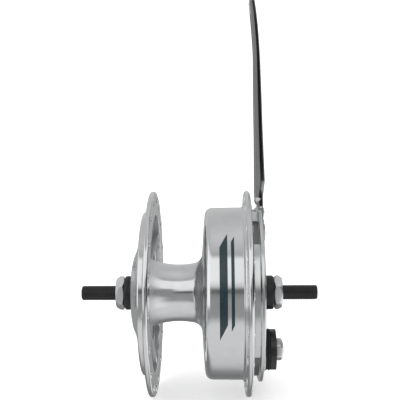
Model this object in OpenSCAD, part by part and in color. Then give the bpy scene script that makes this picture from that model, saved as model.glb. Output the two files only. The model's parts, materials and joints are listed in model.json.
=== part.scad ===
// Front drum-brake hub for a bicycle.
// The axle lies along X, with the brake on the +X side. The reaction arm points up, along +Z.
// The origin is on the axle's centre line, midway between the two locknut faces.

/* [Axle] */
// Distance over the two locknut faces, which is the gap between the fork ends
over_locknut = 100; // [99.6:0.1:100.4]
// Whole length of the axle
axle_len = 142.5; // [136:0.5:150]
// Diameter of the axle's ends
axle_d = 9; // [8.8:0.1:9.2]
// Thickness of a locknut
locknut_t = 4.8; // [4.4:0.1:4.9]
// Distance across the flats of a locknut
locknut_af = 18; // [16:0.5:18]
// Diameter of the black spacers
spacer_d = 20.4; // [18.4:0.5:21.4]

/* [Shell] */
// Diameter of both spoke flanges
flange_d = 123; // [121:0.5:125]
// Middle of the left flange's rim, left of the origin
flange_left = 27.5; // [27:0.1:28]
// Middle of the right flange's rim, right of the origin
flange_right = 29; // [28.9:0.1:29.1]
// Diameter of the circle of spoke holes in the left flange
spoke_pcd_left = 114; // [113.6:0.1:115]
// Diameter of the circle of spoke holes in the right flange
spoke_pcd_right = 112.8; // [112:0.1:113]
// Diameter of a spoke hole
spoke_hole_d = 2.6; // [2.3:0.1:2.9]
// Spoke holes in each flange
spokes_per_flange = 18; // [12:1:20]
// Stiffening ribs in the dish of the left flange
rib_count = 9; // [6:3:12]

/* [Brake] */
// Inside diameter of the steel liner that the shoes rub on
drum_d = 90; // [89.8:0.1:90.2]
// Width of the brake shoes along the axle
shoe_w = 18; // [14:0.5:18]
// Height of the shoes' anchor pin above the axle
anchor_z = 36; // [35.8:0.1:36.2]
// Depth of the brake cam below the axle
cam_z = 34.8; // [34.6:0.1:35]
// Thickness of the cam between the two shoe ends
cam_t = 8; // [7.6:0.1:8.2]

/* [Arm and lever] */
// Height of the reaction arm's tip above the axle
arm_top = 175.6; // [172:0.2:180]
// Width of the arm where it leaves the brake plate
arm_w = 22; // [20:0.5:22]
// Width of the arm at its tip
arm_tip_w = 12; // [11:0.5:14]
// Distance from the cam's axis to the cable hole in the lever
lever_len = 48; // [40:1:55]
// Slope of the lever below the horizontal, in degrees
lever_slope = 12; // [0:1:20]

/* [Hidden] */
$fn = 96;

// A cut that has to pass a face runs on this far
over = 0.5;
face_x = over_locknut / 2;
end_x = axle_len / 2;
axle_r = axle_d / 2;
// Between the locknut faces the axle is a little thinner, and the nuts, spacers and plate fit on that
clamp_r = axle_r - 0.25;
shoulder_r = 8;
shoulder_x = 29.5;

// Ball bearings: 12 mm bore, 28 mm outside, 8 mm wide
seat_r = 6;
bearing_r = 14;
bearing_w = 8;
ball_r = 2.38;
pitch_r = 10;
race_r = 2.45;
ball_count = 9;
left_bearing_x = -34;
right_bearing_x = -1;

// Shell
flange_r = flange_d / 2;
barrel_r = 17.1;
barrel_left_x = -26;
barrel_right_x = -5;
drum_r = 51.5;
flange_half = 1.5;
recess_r = 47;
bore_r = 12.5;
liner_r = drum_d / 2;
liner_out_r = liner_r + 2.5;
drum_wall_x = 7.2;
mouth_x = flange_right + 1.6;
half_pitch = 180 / spokes_per_flange;
rib_phase = 3;
spoke_phase = 3;

// Brake plate
plate_back_x = 28.8;
plate_gap_x = 31.2;
plate_hub_x = 39;
seal_x = 39.4;
seal_r = 12.6;

// Foot of the arm: its tongue lies in a pad of the plate and steps in towards the rim
pad_x = 37.4;
pad_step = 1;
step_low_z = 40.5;
step_high_z = 45.5;
tongue_t = 2;
tongue_low_z = 30;
rivet_y = 6.5;
rivet_z = 49;

// Brake shoes
shoe_x = 8.5;
lining_t = 3;
lining_r = liner_r - 0.7;
rim_r = lining_r - lining_t;
rim_t = 3.3;
web_x = 14.5;
web_w = 6;
pin_r = 4;
pin_clear = 0.05;
shoe_gap = 0.4;
spring_x = web_x + web_w + 3;
spring_r = 2;
wire_r = 0.6;
spring_turns = 8;

// Cam stack
cam_bush_r = 7;
journal_r = 5;
lever_x = 42.6;
lever_t = 3.4;
lever_hub_r = 12.2;
nut_x = lever_x + lever_t;

// Points of an arc in a half-section, as [radius, x], from angle a0 to a1
function bend(r, x, size, a0, a1, n = 8) =
    [for (i = [0 : n]) [r + size * cos(a0 + (a1 - a0) * i / n), x + size * sin(a0 + (a1 - a0) * i / n)]];

// Turns a half-section of [radius, x] points about the X axis
module turned(points) {
    rotate([0, 90, 0]) rotate_extrude() polygon(points);
}

// A cylinder along +X that starts at x
module rod(r, x, len, y = 0, z = 0) {
    translate([x, y, z]) rotate([0, 90, 0]) cylinder(r = r, h = len);
}

// A tube along +X that starts at x
module tube(r_out, r_in, x, len, y = 0, z = 0) {
    difference() {
        rod(r_out, x, len, y, z);
        rod(r_in, x - over, len + 2 * over, y, z);
    }
}

// An outline of [y, z] points, made len thick along +X from x
module slab(points, x, len) {
    translate([x, 0, 0]) multmatrix([[0, 0, 1, 0], [1, 0, 0, 0], [0, 1, 0, 0], [0, 0, 0, 1]])
        linear_extrude(len) polygon(points);
}

// An outline of [x, z] points, made width wide along Y about the middle
module side_slab(points, width) {
    translate([0, width / 2, 0]) rotate([90, 0, 0]) linear_extrude(width) polygon(points);
}

// A hexagon nut along X with its rims turned off to a shallow cone and both ends of its bore countersunk
module hex_nut(af, x, len, bore, turn) {
    corner_r = af / 2 / cos(30);
    chamfer = 0.7;
    sink = 0.65;
    difference() {
        intersection() {
            translate([x, 0, 0]) rotate([turn, 0, 0]) rotate([0, 90, 0]) cylinder(r = corner_r, h = len, $fn = 6);
            turned([[0, x], [corner_r - 2 * chamfer, x], [corner_r + 2, x + 1.7 * chamfer],
                [corner_r + 2, x + len - 1.7 * chamfer], [corner_r - 2 * chamfer, x + len], [0, x + len]]);
        }
        rod(bore, x - over, len + 2 * over);
        turned([[0, x - over], [bore + sink + over, x - over], [bore, x + sink], [0, x + sink]]);
        turned([[0, x + len - sink], [bore, x + len - sink], [bore + sink + over, x + len + over],
            [0, x + len + over]]);
    }
}

module axle() {
    tip = 0.8;
    color("#1d1d1f") turned([[0, -end_x], [axle_r - tip, -end_x], [axle_r, -end_x + tip], [axle_r, -face_x],
        [clamp_r, -face_x], [clamp_r, left_bearing_x - bearing_w / 2 + 0.5],
        [seat_r, left_bearing_x - bearing_w / 2 + 0.5], [seat_r, right_bearing_x + bearing_w / 2],
        [shoulder_r, right_bearing_x + bearing_w / 2], [shoulder_r, shoulder_x], [clamp_r, shoulder_x],
        [clamp_r, face_x], [axle_r, face_x], [axle_r, end_x - tip], [axle_r - tip, end_x], [0, end_x]]);
}

module locknut_left() {
    color("#cfd1d4") hex_nut(locknut_af, -face_x, locknut_t, clamp_r, 30);
}

module locknut_right() {
    color("#cfd1d4") hex_nut(locknut_af, face_x - locknut_t, locknut_t, clamp_r, 30);
}

// The collar on this spacer passes through the dust cap to the inner ring
module spacer_left() {
    nut_side = -face_x + locknut_t;
    ring_side = left_bearing_x - bearing_w / 2;
    cap_side = -40.9;
    color("#262628") turned([[clamp_r, nut_side], [spacer_d / 2 - 1.2, nut_side], [spacer_d / 2, nut_side + 1],
        [spacer_d / 2, cap_side - 0.4], [spacer_d / 2 - 0.4, cap_side], [7.2, cap_side], [7.2, ring_side],
        [clamp_r, ring_side]]);
}

module spacer_right() {
    nut_side = face_x - locknut_t;
    color("#262628") turned([[clamp_r, plate_hub_x], [spacer_d / 2 - 0.4, plate_hub_x],
        [spacer_d / 2, plate_hub_x + 0.4], [spacer_d / 2, nut_side - 1], [spacer_d / 2 - 1.2, nut_side],
        [clamp_r, nut_side]]);
}

module bearing_sleeve() {
    start = left_bearing_x + bearing_w / 2;
    color("#8d9094") tube(7.5, seat_r, start, right_bearing_x - bearing_w / 2 - start);
}

// The groove that the balls run in, about the X axis
module race(x) {
    translate([x, 0, 0]) rotate([0, 90, 0]) rotate_extrude() translate([pitch_r, 0]) circle(race_r);
}

module inner_ring(x) {
    color("#b9bcc0") difference() {
        tube(8.6, seat_r, x - bearing_w / 2, bearing_w);
        race(x);
    }
}

module outer_ring(x) {
    color("#b9bcc0") difference() {
        tube(bearing_r, 11.4, x - bearing_w / 2, bearing_w);
        race(x);
    }
}

module ball_row(x, r) {
    for (i = [0 : ball_count - 1])
        rotate([i * 360 / ball_count, 0, 0]) translate([x, pitch_r, 0]) sphere(r);
}

module bearing_cage(x) {
    cage_w = 6.2;
    color("#a58c4f") difference() {
        tube(10.8, 9.3, x - cage_w / 2, cage_w);
        for (i = [0 : ball_count - 1])
            rotate([i * 360 / ball_count, 0, 0]) translate([x, 8, 0]) rotate([-90, 0, 0])
                cylinder(r = race_r, h = 4);
    }
}

module bearing_balls(x) {
    color("#d9dbde") ball_row(x, ball_r);
}

// Two thin discs that close a bearing, held by the outer ring
module bearing_shields(x) {
    shield_t = 0.35;
    color("#2b2b2d") for (side = [-3.6, 3.6])
        tube(11.4, 8.8, x + side - shield_t / 2, shield_t);
}

module inner_ring_left() { inner_ring(left_bearing_x); }
module inner_ring_right() { inner_ring(right_bearing_x); }
module outer_ring_left() { outer_ring(left_bearing_x); }
module outer_ring_right() { outer_ring(right_bearing_x); }
module cage_left() { bearing_cage(left_bearing_x); }
module cage_right() { bearing_cage(right_bearing_x); }
module balls_left() { bearing_balls(left_bearing_x); }
module balls_right() { bearing_balls(right_bearing_x); }
module bearing_shields_left() { bearing_shields(left_bearing_x); }
module bearing_shields_right() { bearing_shields(right_bearing_x); }

module bearing_circlip() {
    clip_x = right_bearing_x + bearing_w / 2 + 0.05;
    color("#77797c") difference() {
        tube(15.2, 12.4, clip_x, 1.1);
        translate([clip_x - over, -1.5, -16]) cube([2.1, 3, 6]);
    }
}

module dust_cap_left() {
    color("#c6c8cb") turned([[7.6, -40.6], [12.6, -40.6], [13.2, -40.2], [bearing_r, -40.2], [bearing_r, -38.2],
        [7.6, -38.2]]);
}

// The barrel's outside radius at x: it is waisted in the middle
function barrel_at(x) = barrel_r + 2.1 * pow((x + 12) / 14, 2);

// Points down the barrel's outside, from x0 to x1
function barrel_line(x0, x1, n) = [for (i = [0 : n]) let (x = x0 + i * (x1 - x0) / n) [barrel_at(x), x]];

// Half-section of the dished left flange with its bearing seat
function flange_section() =
    let (x = -flange_left, h = flange_half, r = flange_r)
    concat(
        [[bearing_r, -40], [16, -40], [18.5, -39.9], [22.5, -39], [25.8, -37.5], [33, -35.4], [40, -34],
            [46.5, -33.4]],
        bend(48, -32.4, 1, -90, 0, 4),
        [[49, x - h - 0.9]],
        bend(49.9, x - h - 0.9, 0.9, 180, 90, 3),
        bend(r - 1.5, x, h, -90, 90, 10),
        [[recess_r + 0.6, x + h], [recess_r, x + h - 0.6], [recess_r, -30.6]],
        bend(recess_r - 1.2, -30.6, 1.2, 0, -80, 4),
        [[40, -30.9], [33, -31.8], [26, -33]],
        bend(25.4, -26.8, 6.2, -95, -165, 8),
        [[barrel_at(barrel_left_x), barrel_left_x], [bore_r, barrel_left_x],
            [bore_r, left_bearing_x + bearing_w / 2], [bearing_r, left_bearing_x + bearing_w / 2]]);

// Half-section of the brake drum with the right flange and the right bearing's seat
function drum_section() =
    let (x = flange_right, h = 1.6, r = flange_r)
    concat(
        [[bearing_r, barrel_right_x]],
        barrel_line(barrel_right_x, -2, 3),
        bend(22.6, -3.2, 4.6, 160, 100, 6),
        [[25, 2.2], [36, 3.1], [drum_r - 5.6, 3.8]],
        bend(drum_r - 5.1, 9, 5.1, -90, 0, 8),
        [[drum_r + 1.4, x - 2.9]],
        bend(drum_r + 2.4, x - 2.6, 1, 180, 90, 3),
        bend(r - h, x, h, -90, 90, 10),
        [[liner_out_r, mouth_x], [liner_out_r, drum_wall_x], [44, drum_wall_x], [36, 6.4], [25, 5.6],
            [15.6, 5.4], [bearing_r, 5.4], [bearing_r, 4.3], [15.4, 4.3], [15.4, 3], [bearing_r, 3]]);

// One circle of spoke holes through a flange
module spoke_holes(x, pcd, phase) {
    for (i = [0 : spokes_per_flange - 1])
        rotate([phase + i * 360 / spokes_per_flange, 0, 0])
            rod(spoke_hole_d / 2, x - 3, 6, pcd / 2, 0);
}

// Ribs that stand in the dish of the left flange
module ribs() {
    rib_t = 2.6;
    for (i = [0 : rib_count - 1])
        rotate([rib_phase + i * 360 / rib_count, 0, 0]) rotate([90, 0, 0])
            translate([0, 0, -rib_t / 2]) linear_extrude(rib_t)
                polygon([[-34.5, 18], [-34.8, 25], [-32.2, 40], [-31.4, 46], [-30.2, 47.8], [-27, 47.8],
                    [-27, 43], [-30.4, 25], [-31, 18]]);
}

// Three openings through the dish, each between two ribs
module windows() {
    window_in = 21.3;
    window_out = 29.5;
    for (i = [0 : 2])
        rotate([23 + i * 120, 0, 0]) intersection() {
            tube(window_out, window_in, -42, 13);
            slab([[0, 0], [40, -9.4], [40, 9.4]], -42, 13);
        }
}

module left_flange() {
    color("#c9ccd0") difference() {
        union() {
            turned(flange_section());
            ribs();
        }
        windows();
        spoke_holes(-flange_left, spoke_pcd_left, spoke_phase);
    }
}

module hub_barrel() {
    color("#c9ccd0") turned(concat(barrel_line(barrel_left_x, barrel_right_x, 12),
        [[bore_r, barrel_right_x], [bore_r, barrel_left_x]]));
}

module drum_shell() {
    color("#c9ccd0") difference() {
        turned(drum_section());
        spoke_holes(flange_right, spoke_pcd_right, spoke_phase + half_pitch);
    }
}

module drum_liner() {
    color("#7c7e82") tube(liner_out_r, liner_r, drum_wall_x, 20);
}

// The pad for the arm's tongue, as the solid that is cut out of the plate
module tongue_pad() {
    half = arm_w / 2 + 0.3;
    intersection() {
        side_slab([[pad_x, 20], [pad_x, step_low_z], [pad_x - pad_step, step_high_z], [pad_x - pad_step, 60],
            [45, 60], [45, 20]], 2 * half + 2);
        union() {
            translate([30, -half, tongue_low_z + arm_w / 2]) cube([16, 2 * half, 40]);
            rod(half, 30, 16, 0, tongue_low_z + arm_w / 2);
        }
    }
}

module brake_plate() {
    color("#c2c5c9") difference() {
        union() {
            turned([[clamp_r, shoulder_x], [11, shoulder_x], [12, 34.8], [42.6, 34.8], [43.8, plate_back_x],
                [46.4, plate_back_x], [46.4, plate_gap_x], [50.4, plate_gap_x], [50.4, 34.4], [52.2, 34.8],
                [52.6, 35.2], [52.6, 36.4], [52.1, 36.9], [47.6, 37.6], [38, 38], [33, 38.2], [20, 38.5],
                [14, plate_hub_x], [clamp_r, plate_hub_x]]);
            rod(7.9, shoulder_x, 7, 0, anchor_z);
            rod(9.4, shoulder_x, 7, 0, -cam_z);
            rod(seal_r + 0.4, 36, seal_x - 36, 0, -cam_z);
        }
        tongue_pad();
        rod(pin_r, shoulder_x - over, 12, 0, anchor_z);
        rod(cam_bush_r, shoulder_x - over, 12, 0, -cam_z);
        for (side = [-1, 1]) rod(2, 30, 12, side * rivet_y, rivet_z);
    }
}

// Line of the arm's back as [x, z], up from the tongue's step: it leans to the left towards the tip
function arm_back(inset) = [for (p = [[38.4, 55], [39.35, 67], [38.5, 92], [37.8, 117], [37, 141], [36.4, 153],
    [36, 159], [34.95, 168]]) [p[0] - inset, p[1]]];

// Side outline of the arm as [x, z], with its flanges open to the left
function arm_side() =
    let (back = pad_x + tongue_t, low = tongue_low_z - 2)
    concat(
        [[pad_x, low], [back, low], [back, step_low_z], [back - pad_step, step_high_z]],
        arm_back(0),
        [[34.2, 172.5], [33.3, arm_top], [31.8, arm_top], [31.75, 172.5], [32.05, 168], [32.9, 159], [33.5, 153],
            [33.55, 141], [33.6, 117], [33.9, 92], [34, 68], [33.8, 56], [34.4, 53.6], [pad_x - pad_step, 53.6],
            [pad_x - pad_step, step_high_z], [pad_x, step_low_z]]);

module reaction_arm() {
    half = arm_w / 2;
    tip_half = arm_tip_w / 2;
    wall = 2;
    channel_top_z = 168;
    color("#b4b8bd") difference() {
        intersection() {
            side_slab(arm_side(), arm_w + 4);
            union() {
                slab([[-half, tongue_low_z + half], [half, tongue_low_z + half], [half, 66],
                    [tip_half, arm_top - 3], [tip_half - 2.5, arm_top], [2.5 - tip_half, arm_top],
                    [-tip_half, arm_top - 3], [-half, 66]], 28, 14);
                rod(half, 28, 14, 0, tongue_low_z + half);
            }
        }
        // the channel is open to the left, towards the wheel
        intersection() {
            side_slab(concat([[pad_x - pad_step, 50]], arm_back(wall), [[25, channel_top_z], [25, 50]]), arm_w);
            slab([[wall - half, 50], [half - wall, 50], [half - wall, 66], [tip_half - wall + 0.4, channel_top_z],
                [wall - tip_half - 0.4, channel_top_z], [wall - half, 66]], 20, 30);
        }
        rod(pin_r - 0.8, 30, 14, 0, anchor_z);
        for (side = [-1, 1]) rod(2, 30, 14, side * rivet_y, rivet_z);
        rod(2.5, 26, 14, 0, arm_top - 12);
    }
}

// Two rivets through the tongue and the plate
module arm_rivets() {
    top = pad_x - pad_step + tongue_t;
    color("#d2d4d7") for (side = [-1, 1]) {
        rod(2, 34, top - 34, side * rivet_y, rivet_z);
        rod(3.2, top, 0.9, side * rivet_y, rivet_z);
    }
}

// The pin that both shoes turn on, riveted over the arm's tongue
module anchor_pin() {
    color("#a9acb0") {
        rod(pin_r, shoe_x + 0.5, pad_x - shoe_x - 0.5, 0, anchor_z);
        rod(pin_r - 0.8, pad_x, tongue_t, 0, anchor_z);
        rod(pin_r, pad_x + tongue_t, 0.9, 0, anchor_z);
    }
}

module cam_bush() {
    color("#b08d4a") tube(cam_bush_r, journal_r + 0.05, shoulder_x, seal_x - shoulder_x, 0, -cam_z);
}

module cam_seal() {
    color("#1b1b1d") tube(seal_r, journal_r + 0.3, seal_x, 2.9, 0, -cam_z);
}

// The wire's middle line: a straight hook, the coil along Y, and the other hook
function spring_line(z) =
    let (half = 9, n = spring_turns * 12)
    concat(
        [[web_x + 2.5, -18.4, z], [web_x + web_w + 1.6, -18.4, z], [spring_x, -16.6, z], [spring_x, -11, z]],
        [for (i = [0 : n]) [spring_x + spring_r * sin(i * 30), -half + 2 * half * i / n,
            z + spring_r - spring_r * cos(i * 30)]],
        [[spring_x, 11, z], [spring_x, 16.6, z], [web_x + web_w + 1.6, 18.4, z], [web_x + 2.5, 18.4, z]]);

function unit(v) = v / norm(v);

// A round wire along a line of points
module wire(line, r, sides = 6) {
    last = len(line) - 1;
    rings = [for (i = [0 : last])
        let (ahead = unit(line[min(i + 1, last)] - line[max(i - 1, 0)]),
            hint = abs(ahead[2]) > 0.8 ? [1, 0, 0] : [0, 0, 1],
            across = unit(cross(ahead, hint)), up = cross(across, ahead))
        [for (k = [0 : sides - 1]) line[i] + r * (cos(k * 360 / sides) * across + sin(k * 360 / sides) * up)]];
    points = [for (ring = rings, p = ring) p];
    faces = concat(
        [[for (k = [0 : sides - 1]) k]],
        [for (i = [0 : last - 1], k = [0 : sides - 1]) let (a = i * sides + k, b = i * sides + (k + 1) % sides)
            [a, a + sides, b + sides, b]],
        [[for (k = [sides - 1 : -1 : 0]) last * sides + k]]);
    polyhedron(points, faces, convexity = 10);
}

module return_spring_cam() {
    color("#9a9da1") wire(spring_line(-23), wire_r);
}

module return_spring_anchor() {
    color("#9a9da1") wire(spring_line(19), wire_r);
}

// A curved bar about the axle on the -Y side, from angle low to high above the -Y direction
module arc_bar(r_out, r_in, low, high, x, len) {
    far = 80;
    intersection() {
        tube(r_out, r_in, x, len);
        slab([[0, 0], for (a = [low : (high - low) / 4 : high]) [-far * cos(a), far * sin(a)]], x - over,
            len + 2 * over);
    }
}

// A shoe casting on the -Y side: rim, web, a half cup on the anchor pin and a pad on the cam
module shoe_casting() {
    pad_y = -cam_t / 2 - 0.05;
    color("#aeb1b5") difference() {
        union() {
            arc_bar(rim_r, rim_r - rim_t, -57, 57, shoe_x, shoe_w);
            arc_bar(rim_r - rim_t + 0.5, 29, -77, 84, web_x, web_w);
            rod(7, shoe_x + 1.5, shoe_w - 3, 0, anchor_z);
            slab([[pad_y, -cam_z - 6], [pad_y, -cam_z + 6], [pad_y - 6, -cam_z + 8], [pad_y - 7.6, -cam_z - 2],
                [pad_y - 7, -cam_z - 4], [pad_y - 3, -cam_z - 6]], shoe_x + 1.5, shoe_w - 3);
            arc_bar(34, 24, -60, -42, web_x, web_w);
            arc_bar(34, 22, 37, 52, web_x, web_w);
        }
        rod(pin_r + pin_clear, shoe_x - over, shoe_w + 2 * over, 0, anchor_z);
        translate([0, -shoe_gap, anchor_z - 14]) cube([40, 20, 30]);
        for (z = [-23, 19]) rod(1.2, web_x - over, web_w + 2 * over, -18.4, z);
    }
}

module lining() {
    color("#4a4038") arc_bar(lining_r, rim_r, -54, 54, shoe_x, shoe_w);
}

module shoe_front() { shoe_casting(); }
module lining_front() { lining(); }
module shoe_rear() { mirror([0, 1, 0]) shoe_casting(); }
module lining_rear() { mirror([0, 1, 0]) lining(); }

module cam_spindle() {
    color("#8f9296") {
        translate([shoe_x + 1, -cam_t / 2, -cam_z - 4]) cube([18, cam_t, 8]);
        rod(6.6, shoe_x + 19, shoulder_x - 0.2 - shoe_x - 19, 0, -cam_z);
        rod(journal_r, shoulder_x - 0.2, lever_x - shoulder_x + 0.2, 0, -cam_z);
        rod(4, lever_x, lever_t, 0, -cam_z);
        rod(3, nut_x, 3.4, 0, -cam_z);
    }
}

module cam_lever() {
    end_r = 6;
    color("#1f1f21") translate([0, 0, -cam_z]) rotate([-lever_slope, 0, 0]) difference() {
        union() {
            rod(lever_hub_r, lever_x, lever_t);
            rod(end_r, lever_x, lever_t, lever_len, 0);
            slab([[1.3, lever_hub_r - 0.1], [1.3, 0.1 - lever_hub_r], [lever_len + 0.7, -end_r],
                [lever_len + 0.7, end_r]], lever_x, lever_t);
        }
        rod(4, lever_x - over, lever_t + 2 * over);
        rod(2.6, lever_x - over, lever_t + 2 * over, lever_len, 0);
    }
}

// A hexagon nut with a closed, domed end
module cam_nut() {
    af = 12;
    corner_r = af / 2 / cos(30);
    color("#d4d6d9") translate([0, 0, -cam_z]) difference() {
        intersection() {
            translate([nut_x, 0, 0]) rotate([0, 90, 0]) cylinder(r = corner_r, h = 5, $fn = 6);
            turned(concat([[0, nut_x], [corner_r - 0.6, nut_x], [corner_r, nut_x + 0.4]],
                [for (a = [0 : 9 : 90]) [corner_r * cos(a), nut_x + 2.4 + 2.6 * sin(a)]]));
        }
        rod(3, nut_x - over, 3.4 + over);
    }
}

axle();
locknut_left();
locknut_right();
spacer_left();
spacer_right();
bearing_sleeve();
inner_ring_left();
inner_ring_right();
brake_plate();
reaction_arm();
arm_rivets();
anchor_pin();
cam_bush();
cam_seal();
return_spring_cam();
return_spring_anchor();
left_flange();
hub_barrel();
drum_shell();
drum_liner();
outer_ring_left();
outer_ring_right();
bearing_shields_left();
bearing_shields_right();
bearing_circlip();
dust_cap_left();
cage_left();
balls_left();
cage_right();
balls_right();
cam_spindle();
cam_lever();
cam_nut();
shoe_front();
lining_front();
shoe_rear();
lining_rear();
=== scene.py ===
"""A bicycle drum-brake hub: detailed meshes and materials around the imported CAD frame."""

import json
import math
from math import cos, pi, radians, sin

import bmesh
import bpy
from mathutils import Matrix, Vector


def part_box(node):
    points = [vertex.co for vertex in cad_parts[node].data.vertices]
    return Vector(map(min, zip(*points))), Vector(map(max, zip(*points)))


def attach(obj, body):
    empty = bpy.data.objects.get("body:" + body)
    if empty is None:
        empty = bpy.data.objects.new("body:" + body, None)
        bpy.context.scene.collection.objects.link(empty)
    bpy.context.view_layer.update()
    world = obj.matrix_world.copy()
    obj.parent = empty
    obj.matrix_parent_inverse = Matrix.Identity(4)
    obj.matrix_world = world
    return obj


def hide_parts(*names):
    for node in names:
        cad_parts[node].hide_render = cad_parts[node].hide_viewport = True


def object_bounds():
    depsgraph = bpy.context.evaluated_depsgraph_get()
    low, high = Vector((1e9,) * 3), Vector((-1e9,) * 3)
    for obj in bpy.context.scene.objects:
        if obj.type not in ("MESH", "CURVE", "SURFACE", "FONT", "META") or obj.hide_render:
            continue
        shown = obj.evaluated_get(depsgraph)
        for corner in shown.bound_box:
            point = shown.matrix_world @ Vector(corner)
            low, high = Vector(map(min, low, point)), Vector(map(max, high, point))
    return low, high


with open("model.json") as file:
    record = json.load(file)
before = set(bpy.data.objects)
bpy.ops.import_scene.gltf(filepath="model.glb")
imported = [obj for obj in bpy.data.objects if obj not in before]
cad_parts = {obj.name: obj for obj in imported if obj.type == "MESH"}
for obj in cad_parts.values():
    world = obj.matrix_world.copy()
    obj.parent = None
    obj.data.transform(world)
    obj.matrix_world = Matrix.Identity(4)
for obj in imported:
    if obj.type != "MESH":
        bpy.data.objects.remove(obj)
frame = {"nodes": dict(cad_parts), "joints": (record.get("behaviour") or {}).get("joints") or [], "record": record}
cad_box = [list(corner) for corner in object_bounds()]

MM = 0.001
PLAIN_FILLET = 0.3
mounts = {m["name"]: m for m in frame["record"]["mounts"]}
joints = {j["name"]: j for j in frame["joints"]}


def mm_box(node):
    """A CAD node's lowest and highest corners, in millimetres."""
    low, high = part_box(node)
    return low / MM, high / MM


def span_x(node):
    low, high = mm_box(node)
    return low.x, high.x


# ---------------------------------------------------------------- sizes, in millimetres
AXLE_L, AXLE_R = span_x("axle")
AXLE_RAD = mounts["axle_end_right"]["dims"]["r_mm"]
PCD_LEFT = mounts["spokes_left"]["dims"]["pcd_mm"]
PCD_RIGHT = mounts["spokes_right"]["dims"]["pcd_mm"]
SPOKE_COUNT = mounts["spokes_left"]["dims"]["count"]
SPOKE_R = mounts["spokes_left"]["dims"]["hole_r_mm"]
FLANGE_L = mounts["spokes_left"]["pos_m"][0] / MM
FLANGE_R = mounts["spokes_right"]["pos_m"][0] / MM
FLANGE_RAD = mm_box("left_flange")[1].z
CAM_Z = joints["cam_turn"]["pos_m"][2] / MM
ANCHOR_Z = joints["shoe_front_swing"]["pos_m"][2] / MM
ARM_TOP = mm_box("reaction_arm")[1].z
ARM_LOW = mm_box("reaction_arm")[0].z
ARM_HALF = mm_box("reaction_arm")[1].y
PLATE_RAD = mm_box("brake_plate")[1].y
SEAL_RAD = mm_box("cam_seal")[1].y
SPACER_RAD = mm_box("spacer_right")[1].y
CLAMP_RAD = AXLE_RAD - 0.25
RIVET_Y, RIVET_Z = 6.5, 49.0
# X of the plate's inner face, of the step that the tongue rests on, and of the tongue's back
PLATE_X, STEP_X, TONGUE_X = 29.5, 36.4, 38.4
SPOKE_PHASE = 3
# half thicknesses of the two flanges
HALF_L, HALF_R = 1.5, 1.6
# each flange's middle plane, half thickness, spoke circle and first hole's angle
FLANGES = ((FLANGE_L, HALF_L, PCD_LEFT, SPOKE_PHASE),
           (FLANGE_R, HALF_R, PCD_RIGHT, SPOKE_PHASE + 180 / SPOKE_COUNT))
RIB_COUNT = 9
RIB_PHASE = 3
WINDOW_PHASE = 23


# ---------------------------------------------------------------- mesh helpers
def add_mesh(name, bm, body, material, replaced=(), sharp=28):
    """Turns a bmesh in millimetres into a piece that rides on a body."""
    bmesh.ops.recalc_face_normals(bm, faces=bm.faces)
    mesh = bpy.data.meshes.new(name)
    bm.to_mesh(mesh)
    bm.free()
    mesh.transform(Matrix.Scale(MM, 4))
    mesh.polygons.foreach_set("use_smooth", [True] * len(mesh.polygons))
    mesh.set_sharp_from_angle(angle=radians(sharp))
    obj = bpy.data.objects.new(name, mesh)
    bpy.context.scene.collection.objects.link(obj)
    obj.data.materials.append(material)
    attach(obj, body)
    if replaced:
        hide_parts(*replaced)
    return obj


def rounded(points, steps=4):
    """A closed outline of (x, r) or (x, r, fillet) points, with each corner turned into a curve."""
    out = []
    count = len(points)
    for i, point in enumerate(points):
        here = Vector(point[:2])
        size = point[2] if len(point) > 2 else PLAIN_FILLET
        before = Vector(points[i - 1][:2]) - here
        after = Vector(points[(i + 1) % count][:2]) - here
        angle = before.angle(after, pi)
        if size <= 0 or angle > radians(176) or min(before.length, after.length) < 1e-6:
            out.append(here)
            continue
        back = min(size / math.tan(angle / 2), before.length * 0.48, after.length * 0.48)
        start = here + before.normalized() * back
        end = here + after.normalized() * back
        for k in range(steps + 1):
            t = k / steps
            out.append(start * (1 - t) ** 2 + here * 2 * t * (1 - t) + end * t * t)
    return out


def arc_range(start, end, steps):
    return [start + (end - start) * k / steps for k in range(steps + 1)]


def arc_at(radius, angles, y=0.0, z=0.0):
    """Points of an arc about (y, z), at angles in degrees."""
    return [(y + radius * cos(radians(a)), z + radius * sin(radians(a))) for a in angles]


def loft(bm, rings):
    """Joins each ring of points to the next with a band of faces."""
    for ring, following in zip(rings, rings[1:]):
        for k in range(len(ring)):
            j = (k + 1) % len(ring)
            bm.faces.new((ring[k], following[k], following[j], ring[j]))


def ring_verts(bm, x, radii):
    """One ring of points about the X axis, a radius for each."""
    return [bm.verts.new((x, r * cos(2 * pi * k / len(radii)), r * sin(2 * pi * k / len(radii))))
            for k, r in enumerate(radii)]


def lathe_bm(outline, segments=144):
    """Revolves a closed (x, r) outline about the X axis. Points with no radius meet at a pole."""
    bm = bmesh.new()
    rings = []
    for x, r in outline:
        rings.append(ring_verts(bm, x, [r] * segments) if r > 1e-6 else [bm.verts.new((x, 0, 0))])
    for i, ring in enumerate(rings):
        following = rings[(i + 1) % len(rings)]
        if len(ring) == 1 and len(following) == 1:
            continue
        for k in range(segments):
            j = (k + 1) % segments
            if len(ring) == 1:
                bm.faces.new((ring[0], following[k], following[j]))
            elif len(following) == 1:
                bm.faces.new((ring[k], following[0], ring[j]))
            else:
                bm.faces.new((ring[k], following[k], following[j], ring[j]))
    return bm


def moved(bm, offset=(0, 0, 0), turn_x=0):
    """Turns a bmesh about the X axis, in degrees, then shifts it."""
    bm.transform(Matrix.Translation(offset) @ Matrix.Rotation(radians(turn_x), 4, "X"))
    return bm


def lathe_at(outline, z, segments):
    return moved(lathe_bm(outline, segments), (0, 0, z))


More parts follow.
